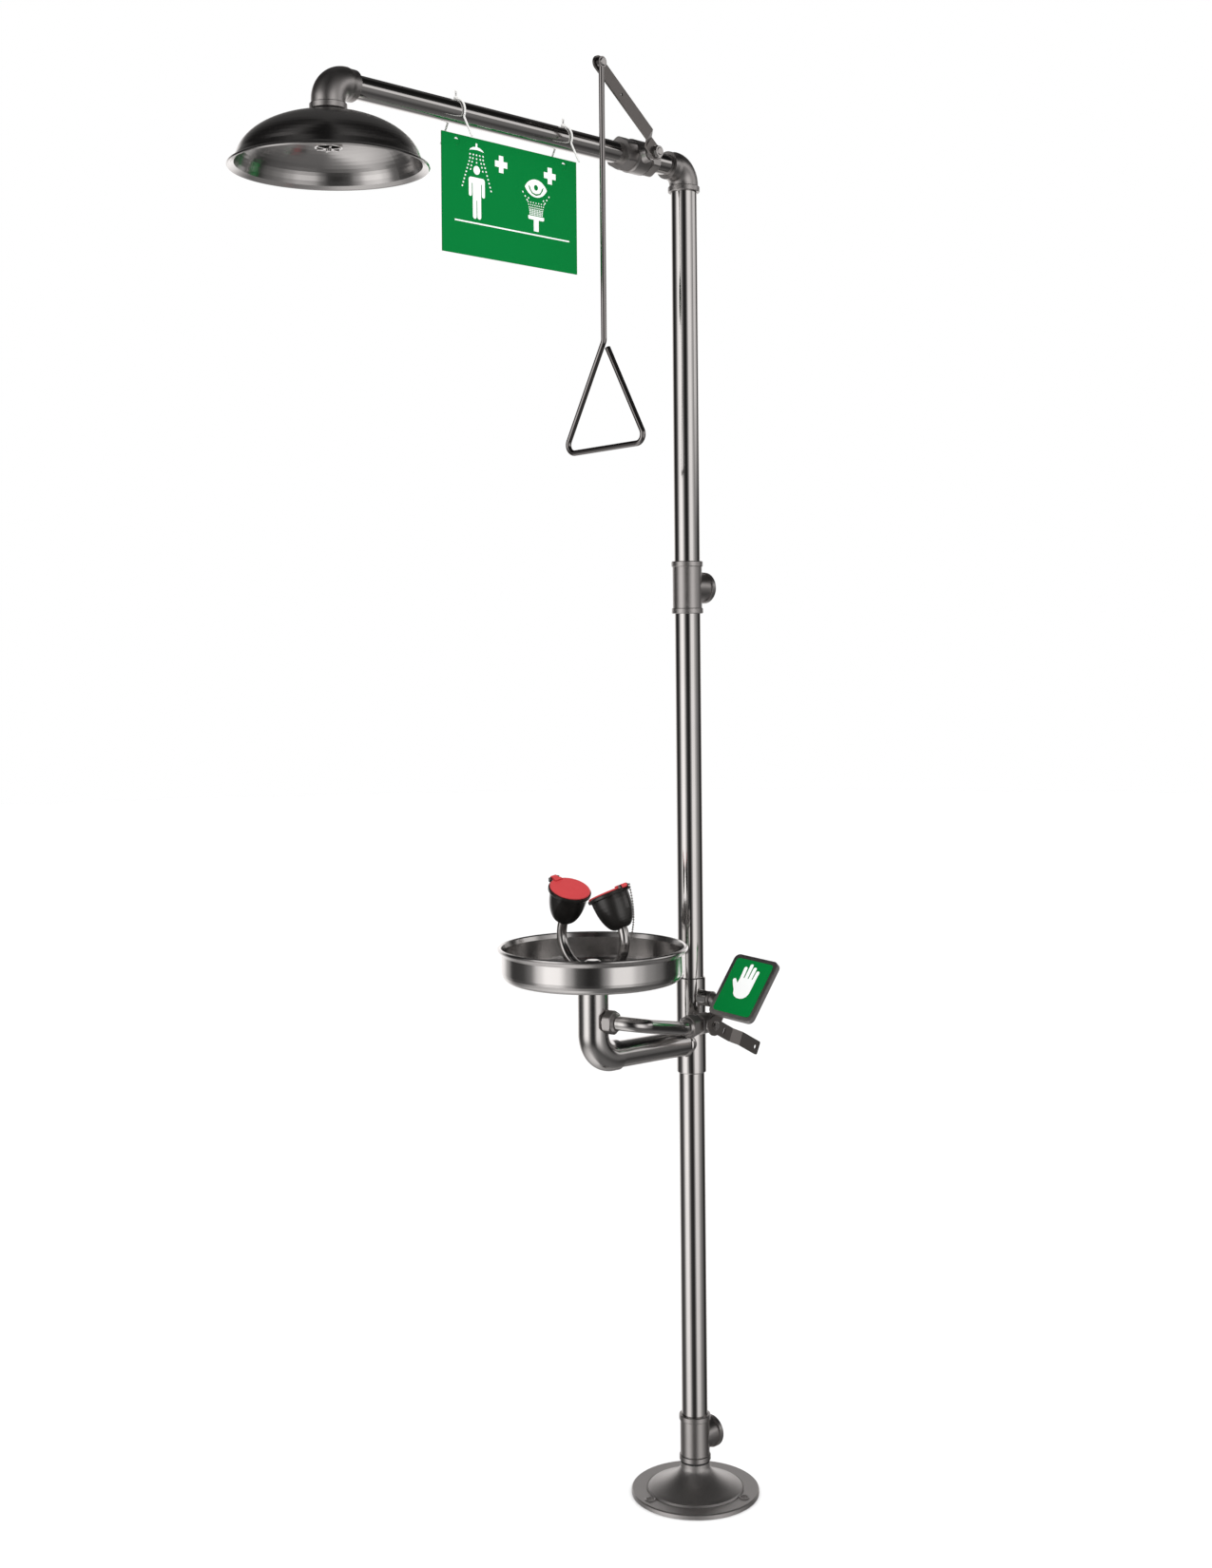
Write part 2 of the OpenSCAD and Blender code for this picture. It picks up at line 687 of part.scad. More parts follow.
boss_angle = -80;
module drain_elbow() {
    color(STEEL) difference() {
        drain_run(leg_r);
        drain_run(leg_bore_r, 1);
        translate([-bowl_x, 0, boss_z]) rotate(boss_angle) to_pos_x() cylinder(h = 40, r = riser_r + CLEAR);
    }
}

module drain_arm() {
    x0 = bowl_x - bend_r - 4;
    z_at = drain_z + x0 * tan(drain_fall);
    color(STEEL) difference() {
        translate([-x0, 0, z_at]) rotate([0, 90 + drain_fall, 0])
            tube(x0 / cos(drain_fall) - 10, pr - 0.1, pi_r);
        translate([0, 0, drain_z - 60]) cylinder(h = 120, r = socket_r + 0.3);
    }
}

// water way inside the drain: a side boss through the leg's wall, a tee, then the riser
module riser_pipe() {
    color(STEEL) translate([-bowl_x, 0, boss_z]) difference() {
        union() {
            cylinder(h = manifold_z - 8 - boss_z, r = riser_r);
            translate([0, 0, -15]) band(30, riser_r + 2);
            rotate(boss_angle) to_pos_x() cylinder(h = 39.3, r = riser_r);
        }
        translate([0, 0, -4]) cylinder(h = manifold_z - boss_z + 4, r = riser_bore_r + 0.3);
        rotate(boss_angle) to_pos_x() cylinder(h = 50, r = riser_bore_r);
    }
}

module nozzle_manifold() {
    color(STEEL) translate([-bowl_x, 0, 0]) difference() {
        union() {
            translate([0, 0, manifold_z - 12]) cylinder(h = 24, r = 14);
            translate([0, 0, manifold_z + 12]) cylinder(h = 3, r1 = 14, r2 = 9);
            for (s = [-1, 1]) translate([0, 0, manifold_z]) rotate([s * -90, 0, 0])
                cylinder(h = 18, r = 11);
        }
        translate([0, 0, manifold_z - 13]) cylinder(h = 5.1, r = riser_r + CLEAR);
        translate([0, 0, manifold_z - 9]) cylinder(h = 17, r = riser_bore_r);
        for (s = [-1, 1]) translate([0, 0, manifold_z]) rotate([s * -90, 0, 0]) {
            cylinder(h = 25, r = nozzle_tube_bore);
            translate([0, 0, tube_start - 1]) cylinder(h = 10, r = nozzle_tube_r + CLEAR);
        }
    }
}

// ---------- nozzles, drawn on the +Y side and mirrored ----------

module on_side(s) {
    if (s > 0) children();
    else mirror([0, 1, 0]) children();
}

// a cup's own frame: origin at its base, +Z along its axis, +Y to the outside
module cup_frame() {
    translate([-bowl_x, nozzle_y, cup_z]) rotate([cup_in, -cup_out, 0]) children();
}

tube_start = 11;                      // from the manifold's axis
tube_bend_r = 50;
tube_rise = (cup_z - manifold_z - tube_bend_r * (1 + sin(nozzle_lean))) / cos(nozzle_lean);
tube_out = nozzle_y + tube_rise * sin(nozzle_lean) - tube_bend_r * cos(nozzle_lean);
module nozzle_route(s, r, extra = 0) {
    translate([-bowl_x, s * (tube_start - extra), manifold_z]) rotate([s * -90, 0, 0]) rotate(s * -90) {
        straight(tube_out - tube_start + extra, r, 0);
        after_straight(tube_out - tube_start + extra) {
            bend(tube_bend_r, 90 + nozzle_lean, r);
            after_bend(tube_bend_r, 90 + nozzle_lean) straight(tube_rise - 1.8, r, LAP, extra);
        }
    }
}
module nozzle_tube(s) {
    color(STEEL) difference() {
        union() {
            nozzle_route(s, nozzle_tube_r);
            nozzle_tip(s) translate([0, 0, -4]) cylinder(h = 10, r = 7.5);
        }
        nozzle_route(s, nozzle_tube_bore, 1);
        nozzle_tip(s) translate([0, 0, -3]) cylinder(h = 14, r = nozzle_tube_bore - 1);
    }
}
module nozzle_tip(s) {
    translate([-bowl_x, s * nozzle_y, cup_z]) rotate([s * cup_in, -cup_out, 0]) children();
}
module nozzle_tube_left() { nozzle_tube(1); }
module nozzle_tube_right() { nozzle_tube(-1); }

function cup_curve(a, shrink) = [
    cup_base_r + (cup_side_r - cup_base_r) * pow(sin(a), 1.05) - shrink,
    (cup_h - cup_band) * (1 - cos(a)) + shrink * cos(a)];
module nozzle_cup() {
    wall = 2.2;
    color(BLACK) cup_frame() {
        difference() {
            rotate_extrude() polygon(concat(
                [[7.6, 0]],
                [for (a = [0:7.5:90]) cup_curve(a, 0)],
                [[cup_r - 0.8, cup_h - cup_band + 0.6], [cup_r, cup_h - cup_band + 1.6], [cup_r, cup_h - 0.8],
                 [cup_r - 0.8, cup_h], [cup_side_r - wall, cup_h]],
                [for (a = [90:-7.5:30]) cup_curve(a, wall)],
                [[7.6, 7]]));
            translate([-6.2, cup_r - 1.5, cup_h - 2.6]) cube([12.4, 8, 8]);
        }
        difference() {
            for (x = [-7.9, 6.1]) translate([x, 0, 0]) {
                translate([0, cup_r - 1.5, cup_h - 4]) cube([1.8, hinge_y - cup_r + 1.5, 4]);
                translate([0, hinge_y, hinge_z]) to_pos_x() cylinder(h = 1.8, r = 2.6);
                translate([0, hinge_y - 2.6, cup_h - 4]) cube([1.8, 5.2, hinge_z - cup_h + 4]);
            }
            translate([-10, hinge_y, hinge_z]) to_pos_x() cylinder(h = 20, r = hinge_r + EPS);
        }
    }
}
module nozzle_cup_left() { on_side(1) nozzle_cup(); }
module nozzle_cup_right() { on_side(-1) nozzle_cup(); }

// the aerating disc inside each cup
module spray_inserts() {
    color([0.75, 0.77, 0.78]) for (s = [1, -1]) on_side(s) cup_frame() difference() {
        translate([0, 0, 33]) cylinder(h = 5, r1 = 25.6, r2 = 26.4);
        for (k = [0:2], a = [0:360 / (6 * k + 6):359]) rotate(a)
            translate([6.5 * k + 6, 0, 30]) cylinder(h = 10, r = 1);
    }
}

module dust_cap() {
    color(RED) cup_frame() difference() {
        union() {
            translate([0, 0, cup_h + 0.2]) rotate_extrude()
                polygon([[0, 0], [cap_r - 0.3, 0], [cap_r, 0.6], [cap_r, cap_t - 1.4],
                    [cap_r - 1.2, cap_t - 0.5], [20, cap_t], [0, cap_t + 0.3]]);
            translate([-5.8, cap_r - 4, cup_h + 0.2]) cube([11.6, hinge_y - cap_r + 4, cap_t - 0.4]);
            translate([-5.8, hinge_y, hinge_z]) to_pos_x() cylinder(h = 11.6, r = 3);
            translate([-7.2, cap_r - 7, cup_h + 0.6]) cube([14.4, 5, cap_t + 1.6]);
            translate([-5.6, cap_r - 4, cup_h + 0.6]) cube([11.2, hinge_y + 2.4 - cap_r + 4, cap_t + 1.2]);
        }
        translate([-7, hinge_y, hinge_z]) to_pos_x() cylinder(h = 14, r = hinge_r + 0.06);
    }
}
module dust_cap_left() { on_side(1) dust_cap(); }
module dust_cap_right() { on_side(-1) dust_cap(); }

module cap_hinge_pins() {
    color(STEEL) for (s = [1, -1]) on_side(s) cup_frame()
        translate([-8.6, hinge_y, hinge_z]) to_pos_x() {
            cylinder(h = 18.6, r = hinge_r);
            translate([0, 0, -0.8]) cylinder(h = 0.8, r = 2.4);
        }
}

// a ball chain from the end of each hinge pin down to its stem
chain_top = [12, hinge_y + 1, hinge_z - 1];
chain_low = [6, 5, -17];
bead_r = 1.5;
bead_count = 21;
module cap_chains() {
    color(STEEL) for (s = [1, -1]) on_side(s) cup_frame() for (i = [0:bead_count - 1]) {
        t = i / (bead_count - 1);
        translate(chain_top * (1 - t) + chain_low * t + [2, 3, -4] * sin(180 * t)) sphere(bead_r, $fn = 24);
    }
}

// ---------- eyewash supply ----------

// the supply tube's route, from the valve's union back to the boss on the drain leg
tube_r = 10.9;
lead_bend_r = 60;
lead_bend = 16.362;
lead_roll = -42.687;
lead_run = 91.112;
turn_bend_r = 30;
turn_bend = 91.23;
turn_roll = 133.608;
union_x = stem_x + flow_half;         // the valve's end face

module supply_tube() {
    color(STEEL) translate([-union_x - 4, -flow_y, flow_z]) to_neg_x() rotate(lead_roll) difference() {
        supply_bends(tube_r);
        supply_bends(riser_bore_r, 1);
    }
}
module supply_bends(r, extra = 0) {
    straight(union_l - 2, r, extra);
    after_straight(union_l - 2) {
        bend(lead_bend_r, lead_bend, r);
        after_bend(lead_bend_r, lead_bend) {
            straight(lead_run, r);
            after_straight(lead_run) rotate(turn_roll) {
                bend(turn_bend_r, turn_bend, r);
                after_bend(turn_bend_r, turn_bend) straight(12, r, LAP, extra);
            }
        }
    }
}

module union_nut() {
    difference() {
        union() {
            hex(14, 33);
            translate([0, 0, 13.5]) cylinder(h = 5, r1 = 15.2, r2 = 13);
        }
        translate([0, 0, -1]) cylinder(h = 22, r = tube_r + 0.15);
    }
}
module union_nuts() {
    color(CAST) {
        translate([-union_x, -flow_y, flow_z]) to_neg_x() union_nut();
        translate([-bowl_x, 0, boss_z]) rotate(boss_angle) translate([26, 0, 0]) to_pos_x() union_nut();
    }
}

module eyewash_valve_body() {
    color(CAST) translate([-stem_x, -flow_y, flow_z]) difference() {
        union() {
            translate([flow_half, 0, 0]) to_neg_x() hex(12, 27);
            translate([-flow_half + 12, 0, 0]) to_neg_x() hex(12, 27);
            translate([flow_half - 10, 0, 0]) to_neg_x() band(2 * flow_half - 20, 16.5, 2);
            translate([0, -13, 0]) to_neg_y() cylinder(h = 6, r1 = 10, r2 = 8);
        }
        translate([flow_half + 1, 0, 0]) to_neg_x() cylinder(h = 2 * flow_half + 2, r = 7.5);
        translate([14, 0, 0]) to_neg_x() cylinder(h = 28, r = 12.2);
        to_neg_y() cylinder(h = 22, r = valve_stem_r + 0.06);
    }
}

module eyewash_valve_ball() {
    color(STEEL) translate([-stem_x, -flow_y, flow_z]) rotate([0, 90, 0]) difference() {
        ball(10.5, 7);
        translate([0, -11, 0]) cube([3.4, 4, 6.4], center = true);
    }
}

module eyewash_valve_seats() {
    color(WHITE) for (side = [-1, 1]) translate([-stem_x, -flow_y, flow_z]) rotate([0, side * 90, 0])
        rotate_extrude() polygon([[7.6, 7.5], [9.6, 5], [12.1, 5], [12.1, 13.9], [7.6, 13.9]]);
}

module eyewash_valve_stem() {
    color(STEEL) translate([-stem_x, -flow_y, flow_z]) {
        translate([0, -11, 0]) cube([6, 3.6, 3], center = true);
        translate([0, -12, 0]) to_neg_y()
            cylinder(h = plate_y - flow_y - 12 + plate_t - 0.1, r = valve_stem_r);
    }
}

module eyewash_gland_nut() {
    color(STEEL) translate([-stem_x, -flow_y - 19, flow_z]) to_neg_y() difference() {
        hex(5, 15);
        translate([0, 0, -1]) cylinder(h = 8, r = valve_stem_r + 0.06);
    }
}

// two small elbows join the sleeve's outlet to the valve
small_bend = 13;
small_reach = 16;
small_r = 11;
small_band_r = 12.6;
module small_elbow() {
    difference() {
        union() {
            small_core(small_r);
            translate([0, 0, -small_reach]) band(6, small_band_r, 0.8);
            translate([small_reach - 6, 0, 0]) to_pos_x() band(6, small_band_r, 0.8);
        }
        small_core(7.5);
        translate([0, 0, -small_reach - 1]) cylinder(h = 3, r = 7.5);
        translate([small_reach - 1, 0, 0]) to_pos_x() cylinder(h = 3, r = 7.5);
    }
}
module small_core(r) {
    translate([0, 0, -small_reach]) {
        straight(small_reach - small_bend, r, 0);
        after_straight(small_reach - small_bend) {
            bend(small_bend, 90, r);
            after_bend(small_bend, 90) straight(small_reach - small_bend, r, LAP, 0);
        }
    }
}
module valve_elbows() {
    knee_x = -stem_x + flow_half + small_reach;
    color(CAST) {
        translate([knee_x, -flow_y, flow_z]) rotate([180, 0, 180]) small_elbow();
        translate([knee_x, -flow_y, outlet_z]) rotate(90) small_elbow();
    }
}

// ---------- eyewash handle ----------

module handle_plate() {
    arm = strip_len - 58;
    color(DARK) translate([-stem_x, 0, flow_z]) {
        translate([0, -plate_y, 0]) rotate([90, 0, 0]) linear_extrude(plate_t) difference() {
            union() {
                circle(disc_r);
                rotate(strip_angle) translate([0, -strip_w / 2]) square([44, strip_w]);
                hull() {
                    circle(12);
                    under_push_plate() translate([2, -push_t - 3.5]) square([38, 3]);
                }
            }
            circle(valve_stem_r + CLEAR);
            rotate(strip_angle) for (v = [-3.5, 3.5]) translate([25, v]) circle(2);
            rotate(strip_angle) translate([23, -3.5]) square([4, 7]);
            under_push_plate() translate([-1, -push_t - 0.5]) square([push_h, push_t + 30]);
        }
        rotate([0, -strip_angle, 0]) translate([0, -plate_y, 0]) difference() {
            union() {
                linear_y(strip_w) polygon([[44 - EPS, 0], [58, -strip_step], [58, -strip_step - plate_t],
                    [44 - EPS, -plate_t]]);
                translate([58 - EPS, -strip_step, 0]) rotate([90, 0, 0]) linear_extrude(plate_t) {
                    translate([0, -strip_w / 2]) square([arm - 3, strip_w]);
                    translate([arm - 4, 3 - strip_w / 2]) square([4, strip_w - 6]);
                    for (v = [3 - strip_w / 2, strip_w / 2 - 3]) translate([arm - 3, v]) circle(3);
                }
            }
            translate([strip_len - 9, 0, 0]) to_neg_y() cylinder(h = 30, r = 3.5);
        }
    }
}
// the push plate's slope in the handle's plane: +X up its face from the low edge, +Y out of it
module under_push_plate() {
    translate([stem_x - push_low_x, push_low_z - flow_z]) rotate(90 - push_tilt) children();
}
// extrude an XY outline over height w, centred on Z = 0
module linear_y(w) {
    translate([0, 0, -w / 2]) linear_extrude(w) children();
}

module handle_screw() {
    color(STEEL) translate([-stem_x, -plate_y - plate_t, flow_z]) to_neg_y() {
        cylinder(h = 1, r = 8);
        translate([0, 0, 1]) hex(4, 11);
    }
}

// the push plate's own frame: +X across, +Y up its slope, +Z out of its face
module push_frame() {
    translate([0, -82, push_low_z]) rotate([push_roll, 0, 0])
        translate([-push_low_x, 82 - push_inner_y - push_w / 2, 0]) rotate([0, 0, -90])
            rotate([90 - push_tilt, 0, 0]) translate([0, 0, -push_t]) children();
}
module rounded_rect(w, h, r) {
    translate([r, 0]) square([w - 2 * r, h]);
    translate([0, r]) square([w, h - 2 * r]);
    for (x = [r, w - r], y = [r, h - r]) translate([x, y]) circle(r);
}
module push_plate() {
    r = 10;
    color(STEEL) push_frame() translate([-push_w / 2, 0, 0]) difference() {
        union() {
            linear_extrude(push_t - 1) rounded_rect(push_w, push_h, r);
            translate([1, 1, 0]) linear_extrude(push_t) rounded_rect(push_w - 2, push_h - 2, r - 1);
        }
        translate([push_wall, push_wall, -1]) linear_extrude(push_t + 1 - push_wall)
            rounded_rect(push_w - 2 * push_wall, push_h - 2 * push_wall, r - push_wall);
    }
}
module push_decal() {
    color(GREEN) push_frame() translate([-push_w / 2 + 7, 7, push_t]) linear_extrude(0.3)
        rounded_rect(push_w - 14, push_h - 14, 6);
}

// ---------- nodes ----------

base_flange();
base_seal_ring();
base_nipple();
bottom_tee();
lower_column();
column_sleeve();
separator_plug();
middle_column();
inlet_tee();
upper_column();
top_elbow();
arm_nipple();
shower_valve_body();
shower_valve_end();
shower_valve_ball();
shower_valve_seats();
shower_valve_stem();
shower_gland_nut();
shower_lever();
shower_lever_nut();
pull_rod();
pull_rod_pin();
shower_arm();
head_elbow();
head_nipple();
head_gasket();
shower_head();
head_locknut();
spray_deflector();
deflector_screw();
sign_board();
sign_ties();
eyewash_bowl();
bowl_strainer();
drain_flange();
drain_elbow();
drain_arm();
riser_pipe();
nozzle_manifold();
nozzle_tube_left();
nozzle_tube_right();
nozzle_cup_left();
nozzle_cup_right();
spray_inserts();
dust_cap_left();
dust_cap_right();
cap_hinge_pins();
cap_chains();
union_nuts();
supply_tube();
eyewash_valve_body();
eyewash_valve_ball();
eyewash_valve_seats();
eyewash_valve_stem();
eyewash_gland_nut();
valve_elbows();
handle_plate();
handle_screw();
push_plate();
push_decal();
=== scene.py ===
"""Looks of the combination emergency shower and eyewash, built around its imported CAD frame.

Everything is in metres in the CAD frame: column axis at the origin, +Z up, shower arm towards -X,
valve handles towards -Y. Sizes written in millimetres are multiplied by MM.
"""

import math

import bmesh
import bpy
from mathutils import Matrix, Vector


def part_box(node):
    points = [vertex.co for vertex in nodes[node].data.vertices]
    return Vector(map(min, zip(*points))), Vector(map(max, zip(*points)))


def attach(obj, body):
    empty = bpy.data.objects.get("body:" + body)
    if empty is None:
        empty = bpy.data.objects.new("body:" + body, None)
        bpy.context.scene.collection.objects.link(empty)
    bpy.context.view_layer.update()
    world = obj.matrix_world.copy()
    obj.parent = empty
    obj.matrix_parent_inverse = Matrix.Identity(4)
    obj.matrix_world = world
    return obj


MM = 0.001
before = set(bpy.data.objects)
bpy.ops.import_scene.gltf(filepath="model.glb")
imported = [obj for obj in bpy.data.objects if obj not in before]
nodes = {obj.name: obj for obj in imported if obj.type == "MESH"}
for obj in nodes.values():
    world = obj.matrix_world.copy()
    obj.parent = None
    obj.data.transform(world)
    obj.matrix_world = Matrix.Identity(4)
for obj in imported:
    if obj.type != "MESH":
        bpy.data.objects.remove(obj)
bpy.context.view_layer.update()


def centre(node):
    lo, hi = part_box(node)
    return (lo + hi) / 2


# ---------- camera ----------

VIEW_DIR = Vector((0.7275, 0.6861, 0)).normalized()
VIEW_RIGHT = Vector((VIEW_DIR.y, -VIEW_DIR.x, 0))
UP = Vector((0, 0, 1))
CAMERA_PLACE = (-2.412, -2.092, 1.403)
LENS, SENSOR, SHIFT_Y = 45, 36, -0.098
ROLL = 0.009                 # radians the picture leans


def add_camera():
    data = bpy.data.cameras.new("camera")
    data.sensor_width = SENSOR
    data.lens = LENS
    data.shift_y = SHIFT_Y
    data.clip_start, data.clip_end = 0.05, 100
    camera = bpy.data.objects.new("camera", data)
    up = UP * math.cos(ROLL) + VIEW_RIGHT * math.sin(ROLL)
    right = VIEW_RIGHT * math.cos(ROLL) - UP * math.sin(ROLL)
    turn = Matrix((right, up, -VIEW_DIR)).transposed()
    camera.matrix_world = Matrix.Translation(CAMERA_PLACE) @ turn.to_4x4()
    bpy.context.scene.collection.objects.link(camera)
    bpy.context.scene.camera = camera


# ---------- node helpers ----------


class Nodes:
    """Short ways to add and join shader nodes."""

    def __init__(self, tree):
        self.tree = tree
        tree.nodes.clear()

    def add(self, kind, **settings):
        node = self.tree.nodes.new(kind)
        for key, value in settings.items():
            setattr(node, key, value)
        return node

    def put(self, value, socket):
        if isinstance(value, bpy.types.NodeSocket):
            self.tree.links.new(value, socket)
        else:
            socket.default_value = value

    def math(self, operation, *values, clamp=False):
        node = self.add("ShaderNodeMath", operation=operation, use_clamp=clamp)
        for value, socket in zip(values, node.inputs):
            self.put(value, socket)
        return node.outputs[0]

    def vector(self, operation, *values):
        node = self.add("ShaderNodeVectorMath", operation=operation)
        for value, socket in zip(values, node.inputs):
            self.put(value, socket)
        return node.outputs["Value" if operation in ("DOT_PRODUCT", "LENGTH") else "Vector"]

    def ramp(self, factor, stops, interpolation="LINEAR"):
        """stops are (place, grey level or colour) pairs."""
        node = self.add("ShaderNodeValToRGB")
        node.color_ramp.interpolation = interpolation
        elements = node.color_ramp.elements
        while len(elements) < len(stops):
            elements.new(0.5)
        for element, (place, value) in zip(elements, sorted(stops)):
            element.position = place
            element.color = (*value, 1) if isinstance(value, tuple) else (value, value, value, 1)
        self.put(factor, node.inputs["Fac"])
        return node.outputs["Color"]

    def noise(self, vector, scale, detail=2.0, roughness=0.5):
        node = self.add("ShaderNodeTexNoise")
        self.put(vector, node.inputs["Vector"])
        node.inputs["Scale"].default_value = scale
        node.inputs["Detail"].default_value = detail
        node.inputs["Roughness"].default_value = roughness
        return node.outputs["Fac"]

    def span(self, value, low, high):
        """value from 0 to 1 spread over low to high."""
        node = self.add("ShaderNodeMapRange")
        self.put(value, node.inputs["Value"])
        node.inputs["To Min"].default_value = low
        node.inputs["To Max"].default_value = high
        return node.outputs["Result"]

    def mix(self, factor, a, b):
        node = self.add("ShaderNodeMix", data_type="RGBA")
        self.put(factor, node.inputs["Factor"])
        self.put(a, node.inputs[6])
        self.put(b, node.inputs[7])
        return node.outputs[2]

    def bump(self, height, strength, distance):
        node = self.add("ShaderNodeBump")
        node.inputs["Strength"].default_value = strength
        node.inputs["Distance"].default_value = distance
        self.put(height, node.inputs["Height"])
        return node.outputs["Normal"]


# ---------- light ----------

FULL_TURN, HALF_TURN = 360, 180
# brightness of the studio by compass angle from the camera's own direction, in degrees: dark behind
# the camera, a soft light on each side of it, dark flags beyond them, and the pale backdrop opposite
STUDIO_ROUND = [
    (-180, 1.0), (-150, 0.9), (-132, 0.30), (-121, 0.010), (-98, 0.02), (-84, 0.12), (-70, 0.75),
    (-60, 1.1), (-43, 1.1), (-30, 0.45), (-18, 0.05), (-4, 0.005), (8, 0.02), (17, 0.28), (28, 0.88),
    (47, 0.88), (60, 0.50), (75, 0.24), (92, 0.13), (108, 0.012), (128, 0.012), (142, 0.4),
    (155, 0.9), (180, 1.0)]
# and by height above the horizon: a dark ceiling above the lights
STUDIO_UP = [(-90, 0), (-38, 0), (-28, 0.5), (-20, 1.0), (-10, 1.2), (0, 1.2), (8, 1.15), (17, 1.15),
             (25, 0.15), (38, 0.06), (90, 0.04)]
STUDIO_FLOOR = [(-90, 0.60), (-60, 0.60), (-42, 0.40), (-29, 0.06), (0, 0), (30, 0), (90, 0)]
FLOOR_ROUND = [(-180, 0.6), (-130, 1.2), (-60, 1.5), (-20, 0.5), (20, 0.25), (120, 0.25), (180, 0.6)]
CEILING = 0.009              # least brightness in any direction
# a narrow light beside the object, just above its shower arm
STRIP_ROUND = [(-180, 0), (74, 0), (84, 1), (110, 1), (120, 0), (180, 0)]
STRIP_UP = [(-90, 0), (3, 0), (7, 0.65), (20, 0.65), (25, 0), (90, 0)]
STUDIO_TINT = (1.0, 0.975, 0.965)
FILL = 1.12                  # even light on matt surfaces


def add_world():
    """White to the camera, even for diffuse light, and a small studio for reflections."""
    world = bpy.data.worlds.new("studio")
    bpy.context.scene.world = world
    world.use_nodes = True
    n = Nodes(world.node_tree)
    direction = n.add("ShaderNodeTexCoord").outputs["Generated"]
    ahead = n.vector("DOT_PRODUCT", direction, tuple(-VIEW_DIR))
    right = n.vector("DOT_PRODUCT", direction, tuple(VIEW_RIGHT))
    up = n.vector("DOT_PRODUCT", direction, tuple(UP))
    compass = n.math("MULTIPLY_ADD", n.math("ARCTAN2", right, ahead), 0.5 / math.pi, 0.5)
    height = n.math("MULTIPLY_ADD", n.math("ARCSINE", up), 1 / math.pi, 0.5)

    def by_compass(stops, interpolation="LINEAR"):
        return n.ramp(compass, [(a / FULL_TURN + 0.5, v) for a, v in stops], interpolation)

    def by_height(stops):
        return n.ramp(height, [(a / HALF_TURN + 0.5, v) for a, v in stops])

    sides = n.vector("MULTIPLY", by_compass(STUDIO_ROUND, "EASE"), by_height(STUDIO_UP))
    floor = n.vector("MULTIPLY_ADD", by_height(STUDIO_FLOOR), by_compass(FLOOR_ROUND), (CEILING,) * 3)
    strip = n.vector("MULTIPLY", by_compass(STRIP_ROUND), by_height(STRIP_UP))
    lights = n.vector("ADD", n.vector("ADD", sides, floor), strip)
    seen = n.vector("MULTIPLY", lights, STUDIO_TINT)
    path = n.add("ShaderNodeLightPath")
    light = n.mix(path.outputs["Is Diffuse Ray"], seen, (FILL, FILL, FILL, 1))
    light = n.mix(path.outputs["Is Camera Ray"], light, (1, 1, 1, 1))
    background = n.add("ShaderNodeBackground")
    n.put(light, background.inputs["Color"])
    output = n.add("ShaderNodeOutputWorld")
    n.put(background.outputs[0], output.inputs["Surface"])


def add_soft_light(name, place, target, size, power):
    """A large soft light for matt surfaces and the floor. It shows in no reflection."""
    data = bpy.data.lights.new(name, "AREA")
    data.shape = "DISK"
    data.size = size
    data.energy = power
    lamp = bpy.data.objects.new(name, data)
    lamp.location = place
    lamp.rotation_mode = "QUATERNION"
    lamp.rotation_quaternion = (Vector(target) - Vector(place)).to_track_quat("-Z", "Y")
    lamp.visible_glossy = False
    bpy.context.scene.collection.objects.link(lamp)


# ---------- materials ----------

POSITION = "Object"          # every CAD node's object sits at the origin, so this is the CAD frame
COAT_ROUGH = 0.05
BRUSH_TURN = 0.25            # turns the stretched highlight across the brush lines


def new_material(name):
    material = bpy.data.materials.new(name)
    material.use_nodes = True
    n = Nodes(material.node_tree)
    shader = n.add("ShaderNodeBsdfPrincipled")
    output = n.add("ShaderNodeOutputMaterial")
    n.put(shader.outputs[0], output.inputs["Surface"])
    place = n.add("ShaderNodeTexCoord").outputs[POSITION]
    return material, n, shader, place


def ring_place(n, place, axis_point):
    """Coordinates that only change with distance from a vertical axis and with height."""
    offset = n.vector("SUBTRACT", place, tuple(axis_point))
    flat = n.vector("MULTIPLY", offset, (1, 1, 0))
    split = n.add("ShaderNodeSeparateXYZ")
    n.put(offset, split.inputs[0])
    join = n.add("ShaderNodeCombineXYZ")
    n.put(n.vector("LENGTH", flat), join.inputs["X"])
    n.put(split.outputs["Z"], join.inputs["Y"])
    return join.outputs[0]


